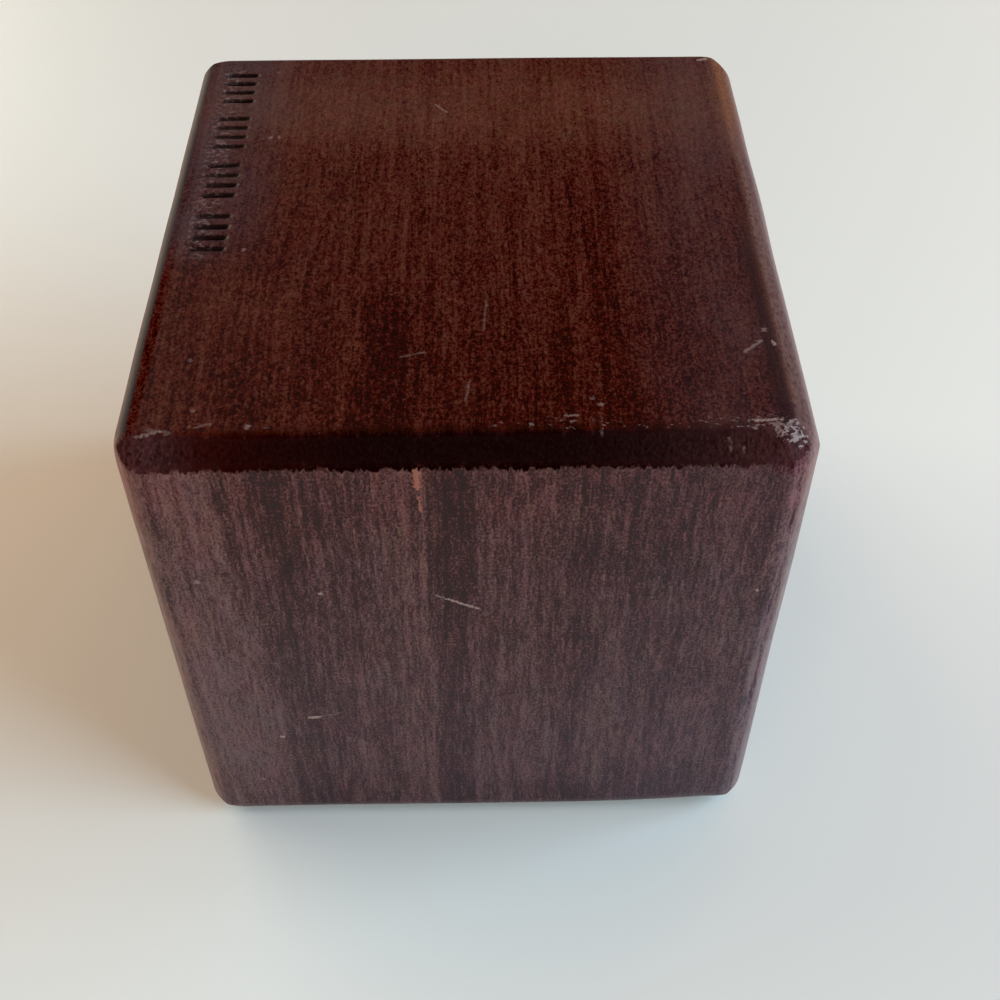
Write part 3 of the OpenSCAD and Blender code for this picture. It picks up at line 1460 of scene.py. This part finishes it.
def facing_back(way: Triple, distance: float) -> Matrix:
    """Where a lamp stands so that it faces the block.

    Args:
        way: Its direction from the block, one unit long and not straight up.
        distance: How far away it stands.

    Returns:
        Its matrix, in metres.
    """
    back = np.array(way)
    side = np.cross([0.0, 0.0, 1.0], back)
    side /= np.linalg.norm(side)
    turn = np.eye(4)
    turn[:3, :3] = np.column_stack([side, np.cross(back, side), back])
    turn[:3, 3] = back * distance * MM
    return Matrix(turn.tolist())


@dataclass(frozen=True)
class Viewpoint:
    """The camera: near the block, above its front, looking down at it.

    Attributes:
        place: Where it stands.
        yaw: Its turn to the left, in radians.
        pitch: How far it looks down, in radians.
        roll: Its lean, in radians.
        lens: Focal length.
        sensor: Width of the sensor.
        nearest: Distance from which things show.
    """

    place: Triple = (1.35, -109.75, 137.8)
    yaw: float = -0.0151
    pitch: float = 0.8297
    roll: float = -0.0017
    lens: float = 48.58
    sensor: float = 36.0
    nearest: float = 5.0

    def build(self) -> None:
        """Makes the camera and gives the scene its use."""
        lens = bpy.data.cameras.new("camera")
        lens.lens = self.lens
        lens.sensor_width = self.sensor
        lens.clip_start = self.nearest * MM
        piece = bpy.data.objects.new("camera", lens)
        turn = (
            Matrix.Rotation(self.yaw, 4, "Z")
            @ Matrix.Rotation(math.pi / 2.0 - self.pitch, 4, "X")
            @ Matrix.Rotation(self.roll, 4, "Z")
        )
        piece.matrix_world = Matrix.Translation([side * MM for side in self.place]) @ turn
        bpy.context.collection.objects.link(piece)
        bpy.context.scene.camera = piece


@dataclass(frozen=True)
class Studio:
    """Soft studio light: a few soft lamps and a dim room.

    Attributes:
        boxes: The lamps.
        room: Colour of the light from all round.
        room_strength: How strong it is.
    """

    boxes: tuple[Softbox, ...]
    room: Colour = colour(1.0, 0.9, 0.78)
    room_strength: float = 0.02

    def build(self) -> None:
        """Makes the lamps and the room's light."""
        for box in self.boxes:
            box.build()
        world = bpy.data.worlds.new("room")
        world.use_nodes = True
        background = world.node_tree.nodes["Background"]
        background.inputs["Color"].default_value = self.room
        background.inputs["Strength"].default_value = self.room_strength
        bpy.context.scene.world = world
        bpy.context.scene.view_settings.view_transform = "Standard"


# --- The object ---


def wooden_block(size: Triple) -> Block:
    """The block with its hand-worked edges and its marks of use.

    Args:
        size: Width, depth and height.

    Returns:
        The block, ready to build.
    """
    nicks = (
        Nick((27.9, -30.4, 58.3), (0.5, 0.6, 0.6), 0.14),
        Nick((27.0, -29.4, 59.0), (0.6, 0.4, 0.6), 0.1),
        Nick((25.7, -29.9, 59.0), (0.5, 0.5, 0.6), 0.12),
    )
    return Block(size, Edges(), TallyRow(), nicks)


def marks_of_use() -> tuple[Mark, ...]:
    """The scratches, chips and dots from many years of handling.

    Returns:
        The marks, which are listed by face and shade, each as its width and its one or two ends.
    """
    groups = {
        (Face.TOP, Shade.BARE): (
            (0.2, (24.0, -29.0), (26.3, -28.9)), (0.35, (25.9, 29.2), (26.8, 29.6)),
            (0.45, (27.1, -19.1)),
        ),
        (Face.TOP, Shade.PALE): (
            (0.7, (25.7, -29.5), (25.8, -30.2)), (0.5, (26.5, -29.8), (27.2, -29.1)),
            (0.32, (-28.1, -30.1), (-25.8, -29.5)), (0.2, (8.1, -28.1), (9.1, -28.1)),
            (0.2, (8.5, -28.8), (8.9, -28.8)), (0.2, (-3.6, 20.5), (-2.4, 18.9)),
            (0.25, (24.3, -20.3), (25.9, -18.9)), (0.4, (23.8, -29.8)), (0.4, (-20.8, 14.4)),
            (0.4, (-19.9, 14.4)), (0.45, (-18.5, -29.0)), (0.35, (5.2, -29.1)), (0.4, (11.2, -26.8)),
            (0.4, (-21.5, -4.9)), (0.45, (26.4, -17.4)),
        ),
        (Face.TOP, Shade.FAINT): (
            (0.32, (-26.8, -29.2), (-25.0, -29.6)), (0.25, (-22.8, -29.0), (-21.6, -28.6)),
            (0.16, (-6.1, -20.5), (-3.9, -19.9)), (0.18, (-0.3, -26.1), (0.1, -23.6)),
            (0.16, (1.3, -17.0), (1.6, -12.8)), (0.4, (-21.3, 27.5)), (0.35, (-23.3, -27.0)),
            (0.4, (-24.4, -20.6)), (0.4, (10.5, -26.0)),
        ),
        (Face.FLAT, Shade.PALE): (
            (0.4, (27.7, -0.2), (28.2, 1.6)),
        ),
        (Face.FLAT, Shade.FAINT): (
            (0.22, (21.7, 0.9), (21.9, 2.0)), (0.2, (22.9, 1.6), (22.9, 2.1)),
            (0.2, (10.7, -0.4), (11.2, 0.6)),
        ),
        (Face.FRONT, Shade.PALE): (
            (0.16, (-3.4, 39.8), (-2.2, 39.2)), (0.4, (-23.5, 8.0)), (0.5, (-25.1, 42.2)),
        ),
        (Face.FRONT, Shade.BARE): (
            (0.22, (-2.4, 39.3), (0.6, 37.7)), (0.35, (-17.1, 19.9), (-16.1, 20.0)),
            (0.4, (-20.4, 16.4)), (0.4, (-14.0, 40.3)), (0.35, (26.3, 40.0)),
        ),
        (Face.FRONT, Shade.FAINT): (
            (0.18, (-16.1, 20.0), (-14.0, 20.7)),
        ),
        (Face.FRONT, Shade.WARM): (
            (0.5, (-4.5, 56.5), (-4.5, 54.4)), (0.2, (-4.4, 53.4), (-4.3, 51.6)),
        ),
        (Face.FRONT, Shade.DARK): (
            (0.5, (-2.7, 33.5)),
        ),
    }
    return tuple(Mark(face, shade, *line) for (face, shade), lines in groups.items() for line in lines)


def studio() -> Studio:
    """The lamps round the table: a cool window at the right and warmer boxes all round.

    Returns:
        The studio, ready to build.
    """
    return Studio(
        boxes=(
            Softbox("window_box", turn=-12.0, rise=30.0, size=(820.0, 620.0), light=(2.9, 4.25, 4.95)),
            Softbox("side_box", turn=45.0, rise=20.0, size=(700.0, 500.0), light=(0.4, 0.16, 0.0)),
            Softbox("back_box", turn=144.0, rise=17.0, size=(1000.0, 480.0), light=(3.0, 2.95, 2.5)),
            Softbox("front_box", turn=-96.0, rise=17.0, size=(1000.0, 480.0), light=(1.8, 1.45, 1.07)),
            Softbox("high_box", turn=90.0, rise=80.0, size=(900.0, 900.0), light=(0.75, 0.26, 0.0)),
        )
    )


def main() -> None:
    """Builds the block on its table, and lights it."""
    logging.basicConfig(level=logging.INFO, format="%(name)s: %(message)s")
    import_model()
    low, high = (np.array(corner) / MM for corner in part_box(NODE))
    block = wooden_block(tuple(high - low))
    piece = block.build()
    piece.data.materials.append(StainedWood(marks=marks_of_use()).material())
    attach(piece, "root")
    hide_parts(NODE)
    LOG.info("%s: %d faces", piece.name, len(piece.data.polygons))
    table = TableTop().build()
    LOG.info("%s: stage", table.name)
    studio().build()
    Viewpoint().build()
    bpy.context.view_layer.update()


if __name__ == "__main__":
    main()
